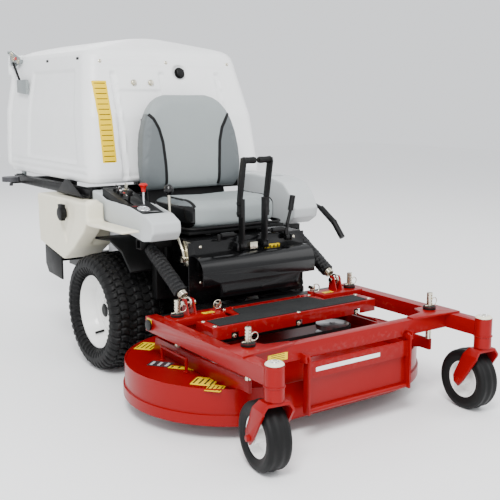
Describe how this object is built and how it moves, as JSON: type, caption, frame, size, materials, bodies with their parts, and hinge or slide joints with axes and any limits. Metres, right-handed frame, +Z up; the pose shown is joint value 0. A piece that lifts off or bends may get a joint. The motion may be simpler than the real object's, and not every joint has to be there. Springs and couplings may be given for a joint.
{
  "type": "zero turn mower",
  "caption": "Mid-mount zero-turn mower with rear grass hopper, floating deck carrier on swivel casters, lever steering and cushioned seat.",
  "frame": {"origin": "on the ground under the middle of the machine's length and width", "axes": "+Z up, front towards -Y, +X on the operator's left"},
  "size_m": [1.274, 2.504, 1.454],
  "materials": {
    "red_steel": "glossy baked red enamel",
    "black_steel": "satin black powder coat",
    "black_plastic": "satin black moulding",
    "white_plastic": "white roto-moulded polyethylene",
    "cream_plastic": "natural cream roto-moulded polyethylene",
    "grey_plastic": "light grey moulding",
    "white_steel": "white gloss wheel enamel",
    "grey_steel": "grey plated plate",
    "zinc": "yellow-tinted zinc plate",
    "blade_steel": "ground steel",
    "exhaust_steel": "heat-dulled steel",
    "engine_alloy": "die-cast alloy",
    "cast_housing": "painted cast housing",
    "bronze": "sintered bronze",
    "tyre": "black moulded rubber",
    "belt_rubber": "fabric-backed belt",
    "grey_rubber": "dark grey rubber",
    "mat_rubber": "gritty anti-slip mat",
    "sleeve_fabric": "black woven sleeve",
    "light_vinyl": "light grey seat vinyl",
    "dark_vinyl": "dark grey seat vinyl",
    "yellow_label": "yellow warning-colour film with plain marks",
    "dark_label": "dark film with plain marks",
    "red_plastic": "red moulded knob",
    "gauge_glass": "clear gauge lens",
    "chrome": "bright plate"
  },
  "bodies": {
    "chassis": {"main_frame": "black_steel", "bulkhead": "black_steel", "leg_shield": "black_plastic", "engine_block": "engine_alloy", "engine_cowl": "black_plastic", "muffler": "exhaust_steel", "hydro_units": "cast_housing", "fuel_tank": "cream_plastic", "right_console": "grey_plastic", "left_fender": "grey_plastic", "control_panel": "black_plastic", "battery": "black_plastic", "discharge_chute": "black_plastic", "wheel_guards": "black_plastic", "lift_springs": "sleeve_fabric", "chassis_hardware": "zinc", "lever_dampers": "black_steel", "hopper_frame": "black_steel", "bumper_discs": "grey_rubber"},
    "right_drive_wheel": {"right_tyre": "tyre", "right_rim": "white_steel"},
    "left_drive_wheel": {"left_tyre": "tyre", "left_rim": "white_steel"},
    "carrier": {"carrier_frame": "red_steel", "caster_bearings": "bronze", "carrier_hardware": "zinc"},
    "footrest": {"foot_tray": "red_steel", "foot_mat": "mat_rubber"},
    "gate": {"front_gate": "red_steel"},
    "deck": {"deck_shell": "red_steel", "deck_fittings": "red_steel", "height_posts": "zinc", "spindle_housings": "engine_alloy", "drive_belt": "belt_rubber"},
    "right_cutter": {"right_blade": "blade_steel"},
    "left_cutter": {"left_blade": "blade_steel"},
    "right_swivel": {"right_caster_fork": "red_steel"},
    "right_caster_wheel": {"right_caster_tyre": "tyre", "right_caster_rim": "white_steel"},
    "left_swivel": {"left_caster_fork": "red_steel"},
    "left_caster_wheel": {"left_caster_tyre": "tyre", "left_caster_rim": "white_steel"},
    "tail_swivel": {"tail_fork": "black_steel"},
    "tail_wheel": {"tail_tyre": "tyre", "tail_rim": "white_steel"},
    "right_drive_lever": {"right_motion_lever": "black_steel"},
    "left_drive_lever": {"left_motion_lever": "black_steel"},
    "lift_lever": {"ball_lever": "zinc"},
    "brake": {"brake_lever": "black_steel"},
    "tip_lever": {"dump_lever": "black_plastic"},
    "seat": {"seat_shell": "black_plastic", "seat_cushion": "light_vinyl", "seat_back": "light_vinyl"},
    "hopper": {"hopper_shell": "white_plastic", "hopper_hardware": "grey_steel"},
    "door": {"hopper_door": "white_plastic"},
    "knob": {"pull_knob": "red_plastic"},
    "key": {"ignition_key": "zinc"},
    "throttle": {"throttle_lever": "black_plastic"},
    "tank_cap": {"fuel_cap": "black_plastic"}
  },
  "joints": [
    {"name": "right_drive", "type": "hinge", "parent": "chassis", "child": "right_drive_wheel", "pos_m": [-0.383, 0.12, 0.254], "axis": [1, 0, 0], "continuous": true},
    {"name": "left_drive", "type": "hinge", "parent": "chassis", "child": "left_drive_wheel", "pos_m": [0.383, 0.12, 0.254], "axis": [1, 0, 0], "continuous": true},
    {"name": "carrier_float", "type": "hinge", "parent": "chassis", "child": "carrier", "pos_m": [0, -0.44, 0.325], "axis": [1, 0, 0], "range_deg": [-6, 4]},
    {"name": "tray_lift", "type": "hinge", "parent": "carrier", "child": "footrest", "pos_m": [0, -0.488, 0.346], "axis": [-1, 0, 0], "range_deg": [0, 60]},
    {"name": "gate_swing", "type": "hinge", "parent": "carrier", "child": "gate", "pos_m": [0, -1.052, 0.303], "axis": [-1, 0, 0], "range_deg": [0, 80]},
    {"name": "deck_height", "type": "slide", "parent": "carrier", "child": "deck", "axis": [0, 0, 1], "range_m": [0, 0.042]},
    {"name": "right_blade_spin", "type": "hinge", "parent": "deck", "child": "right_cutter", "pos_m": [-0.3, -0.556, 0.1], "axis": [0, 0, 1], "continuous": true},
    {"name": "left_blade_spin", "type": "hinge", "parent": "deck", "child": "left_cutter", "pos_m": [0.3, -0.556, 0.1], "axis": [0, 0, 1], "continuous": true},
    {"name": "right_caster_swivel", "type": "hinge", "parent": "carrier", "child": "right_swivel", "pos_m": [-0.486, -1.197, 0.3], "axis": [0, 0, 1], "continuous": true},
    {"name": "right_caster_roll", "type": "hinge", "parent": "right_swivel", "child": "right_caster_wheel", "pos_m": [-0.47737, -1.1356, 0.1145], "axis": [0.9903, -0.1392, 0], "continuous": true},
    {"name": "left_caster_swivel", "type": "hinge", "parent": "carrier", "child": "left_swivel", "pos_m": [0.486, -1.197, 0.3], "axis": [0, 0, 1], "continuous": true},
    {"name": "left_caster_roll", "type": "hinge", "parent": "left_swivel", "child": "left_caster_wheel", "pos_m": [0.4914, -1.13524, 0.1145], "axis": [0.9962, -0.0872, 0], "continuous": true},
    {"name": "tail_swivel_turn", "type": "hinge", "parent": "chassis", "child": "tail_swivel", "pos_m": [0, 0.8, 0.34], "axis": [0, 0, 1], "continuous": true},
    {"name": "tail_roll", "type": "hinge", "parent": "tail_swivel", "child": "tail_wheel", "pos_m": [0, 0.87, 0.14], "axis": [1, 0, 0], "continuous": true},
    {"name": "right_lever_swing", "type": "hinge", "parent": "chassis", "child": "right_drive_lever", "pos_m": [-0.057, -0.39, 0.575], "axis": [1, 0, 0], "range_deg": [-15, 18]},
    {"name": "left_lever_swing", "type": "hinge", "parent": "chassis", "child": "left_drive_lever", "pos_m": [0.057, -0.39, 0.575], "axis": [1, 0, 0], "range_deg": [-15, 18]},
    {"name": "lift_lever_swing", "type": "hinge", "parent": "chassis", "child": "lift_lever", "pos_m": [-0.284, -0.32, 0.535], "axis": [1, 0, 0], "range_deg": [-8, 12]},
    {"name": "brake_swing", "type": "hinge", "parent": "chassis", "child": "brake", "pos_m": [0.184, -0.385, 0.59], "axis": [1, 0, 0], "range_deg": [-5, 20]},
    {"name": "hopper_tip", "type": "hinge", "parent": "chassis", "child": "hopper", "pos_m": [0, 1.15, 0.77], "axis": [-1, 0, 0], "range_deg": [0, 70]},
    {"name": "door_open", "type": "hinge", "parent": "hopper", "child": "door", "pos_m": [0, 1.203, 1.404], "axis": [1, 0, 0], "range_deg": [0, 78]},
    {"name": "tip_lever_swing", "type": "hinge", "parent": "chassis", "child": "tip_lever", "pos_m": [0.452, 0.15, 0.716], "axis": [-1, 0, 0], "range_deg": [0, 36]},
    {"name": "seat_adjust", "type": "slide", "parent": "chassis", "child": "seat", "axis": [0, 1, 0], "range_m": [-0.025, 0.015]},
    {"name": "knob_push", "type": "slide", "parent": "chassis", "child": "knob", "axis": [0, 0, 1], "range_m": [-0.02, 0]},
    {"name": "key_turn", "type": "hinge", "parent": "chassis", "child": "key", "pos_m": [-0.335, 0.078, 0.77863], "axis": [0, -0.2314, 0.9729], "range_deg": [0, 75]},
    {"name": "throttle_swing", "type": "hinge", "parent": "chassis", "child": "throttle", "pos_m": [-0.392, -0.05398, 0.72052], "axis": [1, 0, 0], "range_deg": [-20, 20]},
    {"name": "cap_turn", "type": "hinge", "parent": "chassis", "child": "tank_cap", "pos_m": [-0.54, 0.3, 0.672], "axis": [-1, 0, 0], "range_deg": [0, 270]}
  ],
  "couplings": [
    {"joint": "left_blade_spin", "follows": "right_blade_spin", "ratio": 1},
    {"joint": "door_open", "follows": "hopper_tip", "ratio": 1.1},
    {"joint": "tip_lever_swing", "follows": "hopper_tip", "ratio": 0.5}
  ]
}
